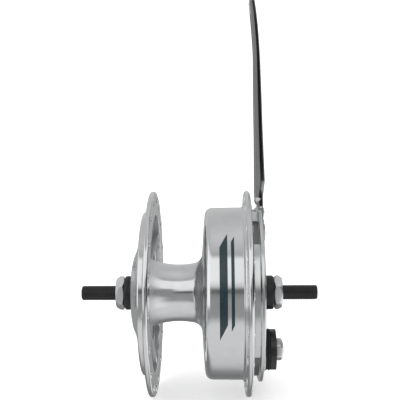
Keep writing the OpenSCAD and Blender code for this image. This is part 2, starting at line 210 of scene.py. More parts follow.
def prism_bm(outline, x0, x1, bevel=0.0, steps=2):
    """A flat (y, z) outline made into a slab from x0 to x1, with its rims bevelled."""
    bm = bmesh.new()
    low = [bm.verts.new((x0, y, z)) for y, z in outline]
    high = [bm.verts.new((x1, y, z)) for y, z in outline]
    caps = [bm.faces.new(low[::-1]), bm.faces.new(high)]
    for k in range(len(outline)):
        j = (k + 1) % len(outline)
        bm.faces.new((low[k], low[j], high[j], high[k]))
    if bevel:
        edges = {e for f in caps for e in f.edges}
        bmesh.ops.bevel(bm, geom=list(edges), offset=bevel, segments=steps, profile=0.5, affect="EDGES")
    return bm


def slab_bm(near, far):
    """A slab between two flat outlines that have the same number of points."""
    bm = bmesh.new()
    rings = [[bm.verts.new(point) for point in outline] for outline in (near, far)]
    bm.faces.new(rings[0])
    bm.faces.new(rings[1][::-1])
    loft(bm, rings)
    bmesh.ops.recalc_face_normals(bm, faces=bm.faces)
    return bm


def side_prism_bm(outline, half):
    """A flat (x, z) outline made into a slab from -half to half along Y."""
    return slab_bm([(x, -half, z) for x, z in outline], [(x, half, z) for x, z in outline])


def rod_bm(radius, x0, x1, y=0, z=0, segments=32, taper=0.0):
    """A plain round cutter or pin along X, optionally wider at both ends, as a countersunk hole is."""
    outline = [(x0, 0), (x0, radius), (x1, radius), (x1, 0)]
    if taper:
        outline[1:3] = [(x0, radius + taper), (x0 + taper, radius), (x1 - taper, radius), (x1, radius + taper)]
    return moved(lathe_bm(outline, segments), (0, y, z))


def join_bm(parts):
    """Several bmeshes as one."""
    whole = bmesh.new()
    for part in parts:
        scratch = bpy.data.meshes.new("scratch")
        part.to_mesh(scratch)
        part.free()
        whole.from_mesh(scratch)
        bpy.data.meshes.remove(scratch)
    return whole


def boolean_bm(base, tool, operation="DIFFERENCE"):
    """base with tool cut away, added to it, or only the part that both share."""
    objects = []
    for bm in (base, tool):
        bmesh.ops.recalc_face_normals(bm, faces=bm.faces)
        mesh = bpy.data.meshes.new("scratch")
        bm.to_mesh(mesh)
        bm.free()
        obj = bpy.data.objects.new("scratch", mesh)
        bpy.context.scene.collection.objects.link(obj)
        objects.append(obj)
    change = objects[0].modifiers.new("cut", "BOOLEAN")
    change.operation, change.solver, change.object = operation, "EXACT", objects[1]
    bpy.context.view_layer.update()
    result = bpy.data.meshes.new_from_object(objects[0].evaluated_get(bpy.context.evaluated_depsgraph_get()))
    bm = bmesh.new()
    bm.from_mesh(result)
    for obj in objects:
        mesh = obj.data
        bpy.data.objects.remove(obj)
        bpy.data.meshes.remove(mesh)
    bpy.data.meshes.remove(result)
    bmesh.ops.remove_doubles(bm, verts=bm.verts, dist=1e-5)
    bmesh.ops.dissolve_degenerate(bm, edges=bm.edges, dist=1e-5)
    return bm


# ---------------------------------------------------------------- materials
class Nodes:
    """The node tree of a material or a world, with short ways to add nodes and link them."""

    def __init__(self, owner):
        owner.use_nodes = True
        self.owner = owner
        self.tree = owner.node_tree

    def fill(self, node, inputs):
        """Links each input of a node to a socket, or gives it a value."""
        for key, value in inputs.items():
            if isinstance(value, bpy.types.NodeSocket):
                self.tree.links.new(value, node.inputs[key])
            else:
                node.inputs[key].default_value = value

    def add(self, kind, inputs=None, **settings):
        node = self.tree.nodes.new(kind)
        for key, value in settings.items():
            setattr(node, key, value)
        self.fill(node, inputs or {})
        return node

    def shade(self, inputs):
        """Fills a material's own shader, and gives the material."""
        self.fill(self.tree.nodes["Principled BSDF"], inputs)
        return self.owner

    def coords(self):
        return self.add("ShaderNodeTexCoord").outputs["Object"]

    def maths(self, operation, a, b=0.0):
        return self.add("ShaderNodeMath", {0: a, 1: b}, operation=operation).outputs[0]

    def noise(self, scale, detail, rough, vector=None):
        inputs = {"Scale": scale, "Detail": detail, "Roughness": rough, "Vector": vector or self.coords()}
        return self.add("ShaderNodeTexNoise", inputs).outputs["Fac"]

    def ramp(self, factor, stops):
        node = self.add("ShaderNodeValToRGB", {"Fac": factor})
        while len(node.color_ramp.elements) < len(stops):
            node.color_ramp.elements.new(0.5)
        for element, (place, colour) in zip(node.color_ramp.elements, stops):
            element.position = place
            element.color = (*colour, 1)
        return node.outputs["Color"]

    def remap(self, value, start, end, low, high, **settings):
        """Turns a value that runs from start to end into one that runs from low to high."""
        inputs = {"Value": value, "From Min": start, "From Max": end, "To Min": low, "To Max": high}
        return self.add("ShaderNodeMapRange", inputs, **settings).outputs["Result"]

    def spread(self, noise, low, high):
        """Stretches the middle of a noise to run from low to high."""
        return self.remap(noise, 0.3, 0.7, low, high)

    def bump(self, height, distance, normal=None):
        inputs = {"Height": height, "Distance": distance, "Strength": 1.0}
        if normal:
            inputs["Normal"] = normal
        return self.add("ShaderNodeBump", inputs).outputs["Normal"]


def grey(value, tint=(1.0, 1.0, 1.0)):
    return tuple(value * t for t in tint)


def radius_node(n):
    """Distance from the axle, in metres."""
    parts = n.add("ShaderNodeSeparateXYZ", {"Vector": n.coords()})
    y2 = n.maths("MULTIPLY", parts.outputs["Y"], parts.outputs["Y"])
    z2 = n.maths("MULTIPLY", parts.outputs["Z"], parts.outputs["Z"])
    return n.maths("SQRT", n.maths("ADD", y2, z2))


def turned_rings(n, pitch):
    """Fine rings about the X axis, as a lathe tool leaves, on turned faces and on the barrel."""
    parts = n.add("ShaderNodeSeparateXYZ", {"Vector": n.coords()})
    radius = radius_node(n)
    place = n.add("ShaderNodeCombineXYZ", {"X": parts.outputs["X"], "Y": radius})
    return n.noise(1.0 / pitch, 2.0, 0.6, place.outputs["Vector"])


def metal(name, base, low, high, tint, rings=0.0, grain=0.0, smear=0.06, satin=()):
    """Bare metal: turning rings, casting grain, cloudy handling marks and small roughness changes.

    satin gives (radius in mm, added roughness) stops for a surface that is less polished at some radii."""
    n = Nodes(bpy.data.materials.new(name))
    cloud = n.noise(60, 4, 0.6)
    fine = n.noise(900, 3, 0.6)
    colour = n.ramp(cloud, [(0.3, grey(base - smear, tint)), (0.7, grey(base + smear / 2, tint))])
    wear = n.spread(cloud, low, high)
    streak = n.spread(turned_rings(n, 0.0007) if rings else fine, -0.02, 0.02)
    rough = n.maths("ADD", wear, streak)
    if satin:
        # the ramp runs from 0 to 1, which stands for a radius of 80 mm
        full = 80
        share = n.maths("MULTIPLY", radius_node(n), 1 / (full * MM))
        rough = n.maths("ADD", rough, n.ramp(share, [(r / full, grey(more)) for r, more in satin]))
    inputs = {"Base Color": colour, "Metallic": 1.0, "Roughness": rough}
    if rings:
        inputs["Normal"] = n.bump(turned_rings(n, 0.00045), rings)
    if grain:
        inputs["Normal"] = n.bump(fine, grain, inputs.get("Normal"))
    return n.shade(inputs)


def coated(name, dark, light, low, high, grain, scale=1400, coat=0.0):
    """Paint, oxide, rubber or friction stuff: mottled colour, soft grain and uneven gloss."""
    n = Nodes(bpy.data.materials.new(name))
    cloud = n.noise(60, 4, 0.6)
    fine = n.noise(scale, 4, 0.65)
    rough = n.maths("ADD", n.spread(cloud, low, high), n.spread(fine, -0.05, 0.05))
    return n.shade({"Base Color": n.ramp(cloud, [(0.3, dark), (0.75, light)]), "Roughness": rough,
                    "Coat Weight": coat, "Coat Roughness": 0.15, "Normal": n.bump(fine, grain)})


COOL = (0.975, 0.99, 1.0)
MATERIALS = {
    "polished_aluminium": metal("polished_aluminium", 0.83, 0.09, 0.15, COOL, rings=0.0000012, grain=0.0000005,
                                satin=((17.8, 0.0), (20.5, 0.4), (25, 0.4), (33, 0.0))),
    "cast_aluminium": metal("cast_aluminium", 0.78, 0.14, 0.24, COOL, rings=0.000002, grain=0.0000015),
    "plated_steel": metal("plated_steel", 0.92, 0.28, 0.38, COOL, grain=0.000001),
    "machined_steel": metal("machined_steel", 0.6, 0.24, 0.36, COOL, rings=0.000004),
    "bearing_steel": metal("bearing_steel", 0.72, 0.1, 0.18, COOL, rings=0.000001),
    "chromed_steel": metal("chromed_steel", 0.6, 0.1, 0.17, COOL, grain=0.0000006, smear=0.04),
    "bronze": metal("bronze", 0.62, 0.3, 0.42, (1.0, 0.74, 0.4), grain=0.000003),
    "spring_steel": metal("spring_steel", 0.46, 0.25, 0.4, COOL, grain=0.000002),
    "liner_iron": metal("liner_iron", 0.38, 0.3, 0.45, COOL, rings=0.000006),
    "pressed_steel": metal("pressed_steel", 0.76, 0.22, 0.32, COOL, rings=0.000002),
    "black_steel": coated("black_steel", (0.006, 0.006, 0.007), (0.018, 0.018, 0.02), 0.38, 0.52, 0.000006),
    "black_rubber": coated("black_rubber", (0.008, 0.008, 0.008), (0.022, 0.022, 0.022), 0.6, 0.75, 0.000008),
    "black_painted_steel": coated("black_painted_steel", (0.006, 0.006, 0.007), (0.016, 0.016, 0.018),
                                  0.3, 0.42, 0.000006, coat=0.3),
    "brake_lining": coated("brake_lining", (0.05, 0.04, 0.03), (0.13, 0.11, 0.09), 0.7, 0.9, 0.00002, 700),
}


def plain(name, body, slot, bm, sharp=28):
    """A piece that stands for the CAD node of the same name."""
    return add_mesh(name + "_visual", bm, body, MATERIALS[slot], (name,), sharp)


def dress_faces(obj, material, chosen):
    """Gives a second material to the faces that chosen(x, radius, normal) picks, in millimetres."""
    obj.data.materials.append(material)
    for face in obj.data.polygons:
        if chosen(face.center.x / MM, math.hypot(face.center.y, face.center.z) / MM, face.normal):
            face.material_index = 1


# ---------------------------------------------------------------- axle, nuts and spacers
def axle():
    """The axle with a real helical thread on both bare ends and under the locknuts."""
    pitch, depth, segments, per_pitch = 1.0, 0.3, 48, 8
    face, seat, shoulder = 49.4, 6.0, 8.0
    tip = 0.8
    bm = bmesh.new()

    def thread_end(x_from, x_to):
        """Rings of the threaded stretch; the crest goes round as x runs on."""
        count = round(abs(x_to - x_from) / pitch * per_pitch)
        rings = []
        for i in range(count + 1):
            x = x_from + (x_to - x_from) * i / count
            from_tip = min(abs(x - AXLE_L), abs(x - AXLE_R))
            crest = AXLE_RAD - max(0.0, tip - from_tip)
            waves = [abs(((x / pitch + k / segments) % 1.0) * 2 - 1) for k in range(segments)]
            radii = [min(crest, AXLE_RAD - depth * min(1.0, 1.25 * wave)) for wave in waves]
            rings.append(ring_verts(bm, x, radii))
        return rings

    rings = thread_end(AXLE_L, -face)
    plain_part = [(-face + 0.1, CLAMP_RAD), (-37.5, CLAMP_RAD), (-37.5, seat), (3, seat), (3, shoulder),
                  (PLATE_X, shoulder), (PLATE_X, CLAMP_RAD), (face - 0.1, CLAMP_RAD)]
    rings += [ring_verts(bm, x, [r] * segments) for x, r in plain_part]
    rings += thread_end(face, AXLE_R)
    loft(bm, rings)
    bm.faces.new(rings[0])
    bm.faces.new(rings[-1][::-1])
    plain("axle", "root", "black_steel", bm, sharp=50)


def hex_outline(flats, turn):
    return arc_at(flats / 2 / cos(pi / 6), range(turn, turn + 360, 60))


def hex_nut(name, flats, turn, x0, x1, bore, z=0, body="root", outer=None, dome=None):
    """A hexagon nut: its corners are cut by a turned cone at each end, and the outer end may be a dome."""
    corner = flats / 2 / cos(pi / 6)
    beyond = corner + 0.4
    # the bar is longer than the nut, and the turned shape trims it, so that no two faces lie in one plane
    prism = prism_bm(hex_outline(flats, turn), x0 - 0.5, x1 + 0.5)
    corners = [e for e in prism.edges if abs(e.verts[0].co.x - e.verts[1].co.x) > 1]
    bmesh.ops.bevel(prism, geom=corners, offset=0.25, segments=3, profile=0.5, affect="EDGES")
    if dome:
        outline = [(x0, 0), (x0, flats * 0.485), (x0 + 0.5, beyond), (dome, beyond), (dome, corner)]
        outline += [(dome + (x1 - dome) * sin(radians(a)), corner * cos(radians(a))) for a in range(6, 90, 6)]
        outline += [(x1, 0)]
    else:
        # the wide cone is on the outer side, where the fork end bears on the nut
        low_cone, high_cone = (2.9, 1.0) if outer == "low" else (1.0, 2.9)
        low_face = flats / 2 * (0.967 if outer == "low" else 0.985)
        high_face = flats / 2 * (0.985 if outer == "low" else 0.967)
        outline = [(x0, 0), (x0, low_face), (x0 + low_cone, beyond), (x1 - high_cone, beyond), (x1, high_face),
                   (x1, 0)]
    bm = boolean_bm(prism, lathe_bm(outline, 96), "INTERSECT")
    if bore:
        bm = boolean_bm(bm, rod_bm(bore, x0 - 0.01, x1 + 0.01, segments=48, taper=0.65))
    soften(bm, 0.1, 24)
    moved(bm, (0, 0, z))
    plain(name, body, "plated_steel", bm, sharp=30)


def soften(bm, size, angle):
    """A small round on every edge that is sharper than angle."""
    bmesh.ops.recalc_face_normals(bm, faces=bm.faces)
    edges = [e for e in bm.edges if e.is_manifold and e.calc_face_angle(0) > radians(angle)
             and e.calc_length() > size * 2]
    bmesh.ops.bevel(bm, geom=edges, offset=size, segments=2, profile=0.5, affect="EDGES", clamp_overlap=True)


def nuts_and_spacers():
    flats = 18
    for side, outer in (("left", "low"), ("right", "high")):
        low, high = span_x("locknut_" + side)
        hex_nut("locknut_" + side, flats, 30, low, high, CLAMP_RAD + 0.02, outer=outer)
    rad = SPACER_RAD
    low, high = span_x("spacer_left")
    cap = low + 4.3
    outline = [(low, CLAMP_RAD, 0), (low, rad - 1.2, 0.3), (low + 1, rad, 0.4), (cap - 1.5, rad, 0.2),
               (cap - 1.5, rad - 0.3, 0.1), (cap - 1.1, rad - 0.3, 0.1), (cap - 1.1, rad, 0.2), (cap, rad, 0.4),
               (cap, 7.2, 0.2), (high, 7.2, 0.2), (high, CLAMP_RAD, 0)]
    plain("spacer_left", "root", "black_steel", lathe_bm(rounded(outline)))
    low, high = span_x("spacer_right")
    outline = [(low, CLAMP_RAD, 0), (low, rad, 0.4), (high - 1, rad, 0.4), (high, rad - 1.2, 0.3),
               (high, CLAMP_RAD, 0)]
    plain("spacer_right", "root", "black_steel", lathe_bm(rounded(outline)))


# ---------------------------------------------------------------- shell
# The barrel is waisted: its least radius and where that lies, and how much wider it is at a distance from there
WAIST_RAD, WAIST_X, FLARE, FLARE_RUN = 17.1, -12, 2.1, 14
# The drum's outside: X and radius where it starts, and the gap to the flange and radius where it ends
DRUM_X, DRUM_RAD, RIM_GAP, RIM_RAD = 4.0, 51.4, 3.4, 51.6


def barrel_radius(x):
    return WAIST_RAD + FLARE * ((x - WAIST_X) / FLARE_RUN) ** 2


def drum_radius(x):
    """The drum's outside widens a little towards its flange."""
    return DRUM_RAD + (RIM_RAD - DRUM_RAD) * (x - DRUM_X) / (FLANGE_R - RIM_GAP - DRUM_X)


def arc_points(x, r, size, start, end):
    """Points of an arc about (x, r), marked as needing no further rounding."""
    return [(*point, 0) for point in arc_at(size, arc_range(start, end, 10), x, r)]


def barrel_fillet(x, size):
    """Centre of a fillet that touches the barrel at x, and the angle at which it does."""
    slope = math.atan(2 * FLARE * (x - WAIST_X) / FLARE_RUN ** 2)
    centre = (x - size * sin(slope), barrel_radius(x) + size * cos(slope))
    return centre, math.degrees(slope) - 90


def shell_outline():
    """The shell's half-section as (x, r, fillet) points, from the left bearing seat round the outside."""
    left, right, rad = FLANGE_L, FLANGE_R, FLANGE_RAD
    left_end, left_size, right_end, right_size = -28, 6.6, -3, 6.0
    points = [(-40, 14, 0.2), (-40, 16, 1.0), (-39.9, 18.5, 2), (-39, 22.5, 5), (-37.5, 25.8, 6),
              (-35.4, 33, 10), (-34, 40, 10), (-33.4, 46.5, 3), (-33.2, 49, 1.4), (left - HALF_L, 49.1, 0.8),
              (left - HALF_L, rad, 1.45), (left + HALF_L, rad, 1.45), (left + HALF_L, 47, 0.6),
              (-31.2, 47, 1.3), (-30.9, 40, 6), (-31.8, 33, 3), (-32.35, 29, 1.5)]
    (x, r), turn = barrel_fillet(left_end, left_size)
    points += arc_points(x, r, left_size, -180, turn)
    points += [(x, barrel_radius(x), 0) for x in range(left_end + 1, right_end)]
    (x, r), turn = barrel_fillet(right_end, right_size)
    points += arc_points(x, r, right_size, turn, -4)
    points += [(2.15, 28, 3), (3.0, 41, 4), (DRUM_X, DRUM_RAD, 5.0), (right - RIM_GAP, RIM_RAD, 0.5),
               (right - 2.6, 52.9, 0.9), (right - HALF_R, 53.1, 0.8), (right - HALF_R, rad, 1.55),
               (right + HALF_R, rad, 1.55), (right + HALF_R, 47.5, 0.5), (7.2, 47.5, 0.3), (7.2, 44, 1),
               (6.4, 36, 4), (5.6, 25, 4), (5.4, 15.6, 0.6), (5.4, 14, 0.2), (4.3, 14, 0), (4.3, 15.4, 0),
               (3, 15.4, 0), (3, 14, 0), (-5, 14, 0), (-5, 12.5, 0.2), (-30, 12.5, 0.2), (-30, 14, 0)]
    return points


def rib_bm(angle):
    """A radial rib on the dish's inner side, with its free edges rounded."""
    outline = [(-34.5, 18), (-34.8, 25), (-32.2, 40), (-31.6, 45), (-31.4, 47.8), (-27, 47.8), (-27, 43),
               (-30.4, 25), (-31, 18)]
    half, dish_face = 1.3, -31.2
    bm = slab_bm([(x, r, -half) for x, r in outline], [(x, r, half) for x, r in outline])
    edges = [e for e in bm.edges if min(v.co.x for v in e.verts) > dish_face]
    bmesh.ops.bevel(bm, geom=edges, offset=0.5, segments=3, profile=0.5, affect="EDGES")
    return moved(bm, turn_x=angle)


def window_bm(angle):
    """A rounded opening through the dish, between two ribs."""
    inner, outer, half_deg, fillet = 21.3, 29.5, 13.0, 2.0
    corners = [(inner, -half_deg), (outer, -half_deg), (outer, half_deg), (inner, half_deg)]
    outline = []
    for r, a in corners:
        inward = 1 if r == outer else -1
        swing = math.degrees(fillet / r) * (1 if a > 0 else -1)
        centre_r, centre_a = r - inward * fillet, a - swing
        radial, around = (0 if inward > 0 else 180), (90 if a > 0 else -90)
        begin, end = (around, radial) if (inward > 0) == (a < 0) else (radial, around)
        if abs(end - begin) > 90:
            end += 360 if end < begin else -360
        turns = [turn + centre_a for turn in arc_range(begin, end, 5)]
        outline += arc_at(fillet, turns, *arc_at(centre_r, [centre_a])[0])
    return moved(prism_bm(outline, -42, -28.5), turn_x=angle)


def hub_shell():
    """The shell as one casting: a turned body with ribs, windows and spoke holes."""
    body = lathe_bm(rounded(shell_outline(), steps=6), 240)
    ribs = join_bm([rib_bm(RIB_PHASE + 360 / RIB_COUNT * k) for k in range(RIB_COUNT)])
    body = boolean_bm(body, ribs, "UNION")
    cutters = [window_bm(WINDOW_PHASE + 120 * k) for k in range(3)]
    for x, half, pcd, phase in FLANGES:
        for k in range(SPOKE_COUNT):
            hole = rod_bm(SPOKE_R, x - half - 0.5, x + half + 0.5, pcd / 2, 0, 20, taper=0.75)
            cutters.append(moved(hole, turn_x=phase + 360 / SPOKE_COUNT * k))
    body = boolean_bm(body, join_bm(cutters))
    shell = add_mesh("hub_shell_visual", body, "hub", MATERIALS["polished_aluminium"],
                     ("left_flange", "hub_barrel", "drum_shell"), 26)
    # the dish between the ribs is left as cast, rougher than the polished faces; its darker colour is painted
    # shade for the recess
    dress_faces(shell, metal("cast_with_painted_shade", 0.6, 0.4, 0.52, COOL, grain=0.00002),
                lambda x, radius, normal: -36 < x < -27.3 and 21.5 < radius < 46.8 and normal.x > -0.5)
    spoke_hole_lips()


def spoke_hole_lips():
    """The burnished lip that each spoke hole has on both faces of its flange."""
    rings = []
    for x, half, pcd, phase in FLANGES:
        for side in (-1, 1):
            face = x + side * half
            root, top = face - side * 0.2, face + side * 0.4
            edge = [(root, 1.55, 0), (root, 2.5, 0), (face, 2.5, 0.3), (top, 2.3, 0.3), (top, 1.6, 0.2)]
            for k in range(SPOKE_COUNT):
                ring = moved(lathe_bm(rounded(edge, steps=3), 16), (0, pcd / 2, 0))
                rings.append(moved(ring, turn_x=phase + 360 / SPOKE_COUNT * k))
    add_mesh("spoke_hole_lips", join_bm(rings), "hub", MATERIALS["plated_steel"], sharp=40)


def dust_cap():
    low, high = span_x("dust_cap_left")
    outline = [(low, 7.6, 0.2), (low, 9.4, 0.3), (low + 0.35, 9.8, 0.2), (low + 0.35, 11.8, 0.2),
               (low, 12.2, 0.3), (low + 0.1, 13.2, 0.5), (low + 0.5, 13.95, 0.3), (high, 13.95, 0.1),
               (high, 7.6, 0.2)]
    plain("dust_cap_left", "hub", "pressed_steel", lathe_bm(rounded(outline)))


# ---------------------------------------------------------------- brake plate, arm and cam stack
def tongue_outline(half, low, top):
    """The arm's tongue seen along X: straight sides over a round foot."""
    centre = low + half
    return [(half, top), (-half, top)] + [(-half * cos(radians(a)), centre - half * sin(radians(a)))
                                          for a in range(0, 181, 6)]


def brake_plate():
    """A dished plate with a grooved rim, bosses for the anchor and the cam, and a pad for the arm's tongue."""
    hub = span_x("spacer_right")[0]
    seal = span_x("cam_seal")[0]
    # radii of the groove's floor and of its pockets' floor, and one beyond the groove
    floor, pocket, beyond = 50.4, 49.2, 52
    outline = [(PLATE_X, CLAMP_RAD, 0), (PLATE_X, 11, 0.3), (34.8, 12, 1), (34.8, 42.6, 1), (28.8, 43.8, 0.4),
               (28.8, 46.4, 0.3), (31.2, 46.4, 0.1), (31.2, floor, 0.2), (34.6, floor, 0.4),
               (35.0, PLATE_RAD, 0.5), (36.9, PLATE_RAD, 0.6), (37.3, 50.4, 0.9), (37.55, 48, 2),
               (37.6, 44.9, 0.25), (37.75, 44.5, 0.25), (38, 38, 6), (38.2, 33, 6), (38.5, 20, 6), (hub, 14, 2),
               (hub, CLAMP_RAD, 0)]
    bm = lathe_bm(rounded(outline, steps=5), 200)
    bosses = [lathe_at([(PLATE_X, 0), (PLATE_X, 7.9), (STEP_X, 7.9), (STEP_X, 0)], ANCHOR_Z, 64),
              lathe_at([(PLATE_X, 0), (PLATE_X, 9.4), (STEP_X, 9.4), (STEP_X, 0)], CAM_Z, 64),
              lathe_at([(36, 0), (36, SEAL_RAD + 0.4), (seal - 0.3, SEAL_RAD + 0.4), (seal, SEAL_RAD + 0.1),
                        (seal, 0)], CAM_Z, 64)]
    for boss in bosses:
        bm = boolean_bm(bm, boss, "UNION")
    half = ARM_HALF + 0.3
    step = side_prism_bm([(37.4, 20), (37.4, 40.5), (STEP_X, 45.5), (STEP_X, 60), (45, 60), (45, 20)], half + 2)
    pad = boolean_bm(prism_bm(tongue_outline(half, ARM_LOW - 0.3, 70), 30, 44), step, "INTERSECT")
    cutters = [pad, rod_bm(4, 28, 42, 0, ANCHOR_Z), rod_bm(7, 28, 42, 0, CAM_Z, 48)]
    cutters += [rod_bm(2, 30, 42, side * RIVET_Y, RIVET_Z) for side in (-1, 1)]
    # two shallow pockets in the groove, which show dark beside the flange
    for start, end in ((117, 139), (216, 276)):
        arc = arc_range(start, end, 14)
        cutters.append(prism_bm(arc_at(beyond, arc) + arc_at(pocket, arc[::-1]), 30.5, 34.4))
    for cutter in cutters:
        bm = boolean_bm(bm, cutter)
    plate = plain("brake_plate", "root", "cast_aluminium", bm, sharp=26)
    # painted shade: the pockets' faces get a darker metal that stands in for the shadow and dark reflections
    # beside the flange
    dress_faces(plate, metal("pocket_painted_shade", 0.25, 0.3, 0.42, COOL, grain=0.000005),
                lambda x, radius, normal: 30.4 < x < 34.5 and 48 < radius < floor - 0.3)


# The channel's sides splay by one share of their depth, and its corner radius is another share, up to a limit
SPLAY, CORNER_SHARE, CORNER_MAX = 0.07, 0.68, 3.6
# Heights of the arm's stations, with the X of its open edge and of its back
ARM_SIDE = [(68.0, 33.85, 39.66), (80, 33.8, 39.2), (92.5, 33.75, 38.72), (104.6, 33.6, 38.36),
            (116.7, 33.45, 38.04), (128.7, 33.42, 37.64), (140.8, 33.38, 37.22), (146, 33.22, 36.95),
            (152, 32.85, 36.6), (159, 32.35, 36.12), (167, 31.65, 35.3)]


def arm_half_width(z):
    """The arm tapers from its waist to the tip, and flares at the foot to meet the tongue."""
    tip_half = 6.0
    waist_z, waist_half, foot_slope = 58.0, 10.3, 0.36
    if z < waist_z:
        return min(ARM_HALF + 0.4, waist_half + foot_slope * (waist_z - z))
    share = min(1.0, (z - waist_z) / (ARM_TOP - 3 - waist_z))
    return waist_half + (tip_half - waist_half) * share


def channel_chain(edge, back, half, corner):
    """The channel's outer side from one open edge round the back to the other, splayed a little."""
    steps = 6
    corner = min(corner, max(0.3, back - edge - 0.3))
    wide = half + SPLAY * max(0.0, back - corner - edge)
    bend = [(back - corner + corner * sin(radians(90 * k / steps)),
             half - corner + corner * cos(radians(90 * k / steps))) for k in range(steps + 1)]
    return [(edge, wide)] + bend + [(x, -y) for x, y in bend[::-1]] + [(edge, -wide)]


def channel_ring(bm, z, edge, back, half, corner):
    """One closed section of the pressed channel: web at the back, two flanges towards the wheel."""
    wall = 2.0
    outer = channel_chain(edge, back, half, corner)
    lip = edge + 0.03 if edge < back - wall - 0.1 else back - wall
    inner = channel_chain(lip, back - wall, half - wall, max(0.25, corner - wall * 0.8))
    return [bm.verts.new((x, y, z)) for x, y in outer + inner[::-1]]


def arm_loft():
    """The channel, closed below in its flat tongue and above in a solid tip that is cut off square."""
    bm = bmesh.new()
    tongue_end, channel_from, back = 42.5, 51.85, TONGUE_X
    # the foot's sections: height, open edge, back and corner radius
    foot = [(42.1, 37.25, 38.85, 0.5), (42.6, 37.05, 38.95, 0.5), (44.0, 36.7, 38.7, 0.5),
            (45.5, STEP_X, back, 0.5), (49.0, STEP_X, back, 0.5), (51.8, STEP_X, back, 0.5),
            (51.9, 36.3, back, 0.7), (52.1, 35.8, back, 1.8), (52.5, 35.2, back, 2.6), (53.6, 34.4, back, 3.0),
            (54.6, 34.05, back, 3.2), (54.95, 34.0, back, 3.2), (57.4, 33.9, back, 3.4),
            (57.8, 33.9, 38.43, 3.4), (58.3, 33.9, 38.49, 3.5), (63.0, 33.87, 39.07, 3.6),
            (67.3, 33.85, 39.6, 3.6)]
    sides = [(z, edge, back, min(CORNER_MAX, CORNER_SHARE * (back - edge))) for z, edge, back in ARM_SIDE]
    rings = []
    for z, edge, back, corner in foot + sides:
        half = ARM_HALF if z < channel_from else arm_half_width(z)
        if z < tongue_end:
            # the first section hides inside the tongue's round foot
            half -= 0.15
        rings.append(channel_ring(bm, z, edge, back, half, corner))
    loft(bm, rings)
    bm.faces.new(rings[0])
    # above the last section only its outer side goes on, and a web closes the channel
    outer_count = len(rings[-1]) // 2
    bm.faces.new(rings[-1][outer_count - 1:] + [rings[-1][0]])
    tip = [rings[-1][:outer_count]]
    # its sides round off from this height on; the share keeps them from running flat at the very top
    fall_z, share = 174.3, 0.94
    round_off = ARM_TOP - fall_z
    for z, edge, back in ((171.0, 31.25, 34.75), (173.8, 30.98, 34.32), (fall_z, 30.95, 34.26),
                          (174.7, 30.93, 34.18), (175.1, 30.98, 34.05), (175.4, 31.15, 33.85),
                          (ARM_TOP, 31.5, 33.5)):
        drop = max(0.0, z - fall_z) * share
        half = arm_half_width(z) - round_off + math.sqrt(round_off ** 2 - drop ** 2)
        chain = channel_chain(edge, back, half, CORNER_SHARE * (back - edge))
        tip.append([bm.verts.new((x, y, z)) for x, y in chain])
    loft(bm, tip)
    bm.faces.new(tip[-1])
    bmesh.ops.recalc_face_normals(bm, faces=bm.faces)
    return bm


def reaction_arm():
    """A pressed channel that runs out into a flat tongue below and closes to a square tip above."""
    bm = arm_loft()
    # the round foot of the tongue lies flat on the pad, then steps in
    step = side_prism_bm([(37.4, 20), (39.4, 20), (39.4, 40.5), (39.0, 42.5), (37.0, 42.5), (37.4, 40.5)], 20)
    tongue = prism_bm(tongue_outline(ARM_HALF, ARM_LOW, 60), 30, 44)
    bm = boolean_bm(bm, boolean_bm(tongue, step, "INTERSECT"), "UNION")
    holes = [rod_bm(3.2, 36, 41, 0, ANCHOR_Z), rod_bm(2.5, 26, 40, 0, ARM_TOP - 12, 40)]
    holes += [rod_bm(2, 34, 41, side * RIVET_Y, RIVET_Z) for side in (-1, 1)]
    for hole in holes:
        bm = boolean_bm(bm, hole)
    plain("reaction_arm", "root", "chromed_steel", bm, sharp=34)


def rivet_heads():
    """Low round heads on the arm's tongue, and the riveted end of the anchor pin."""
    base = span_x("arm_rivets")[1] - 0.9
    shanks = []
    for side in (-1, 1):
        outline = [(34, 0), (34, 1.95), (base, 1.95), (base, 3.1)]
        outline += [(base + 0.9 * sin(radians(a)), 3.1 * cos(radians(a))) for a in range(15, 90, 15)]
        outline += [(base + 0.9, 0)]
        shanks.append(moved(lathe_bm(outline, 40), (0, side * RIVET_Y, RIVET_Z)))
    plain("arm_rivets", "root", "plated_steel", join_bm(shanks))
    low, high = span_x("anchor_pin")
    outline = [(low, 0), (low, 3.5), (low + 0.5, 4), (37.4, 4), (37.4, 3.2), (high - 0.9, 3.2),
               (high - 0.9, 3.9)]
    outline += [(high - 0.9 + 0.9 * sin(radians(a)), 3.9 * cos(radians(a))) for a in range(15, 76, 15)]
    outline += [(high - 0.05, 0.9), (high - 0.35, 0.5), (high - 0.35, 0)]
    plain("anchor_pin", "root", "machined_steel", lathe_at(outline, ANCHOR_Z, 48))


def cam_seal():
    low, high = span_x("cam_seal")
    rad = SEAL_RAD
    outline = [(low, 5.3, 0), (low, rad - 0.2, 0.2), (low + 0.7, rad, 0.3), (low + 1.1, rad - 0.6, 0.3),
               (low + 1.6, rad - 0.6, 0.3), (low + 2.0, rad, 0.3), (high, rad - 0.3, 0.5), (high, 5.3, 0.2)]
    plain("cam_seal", "root", "black_rubber", lathe_at(rounded(outline), CAM_Z, 96))


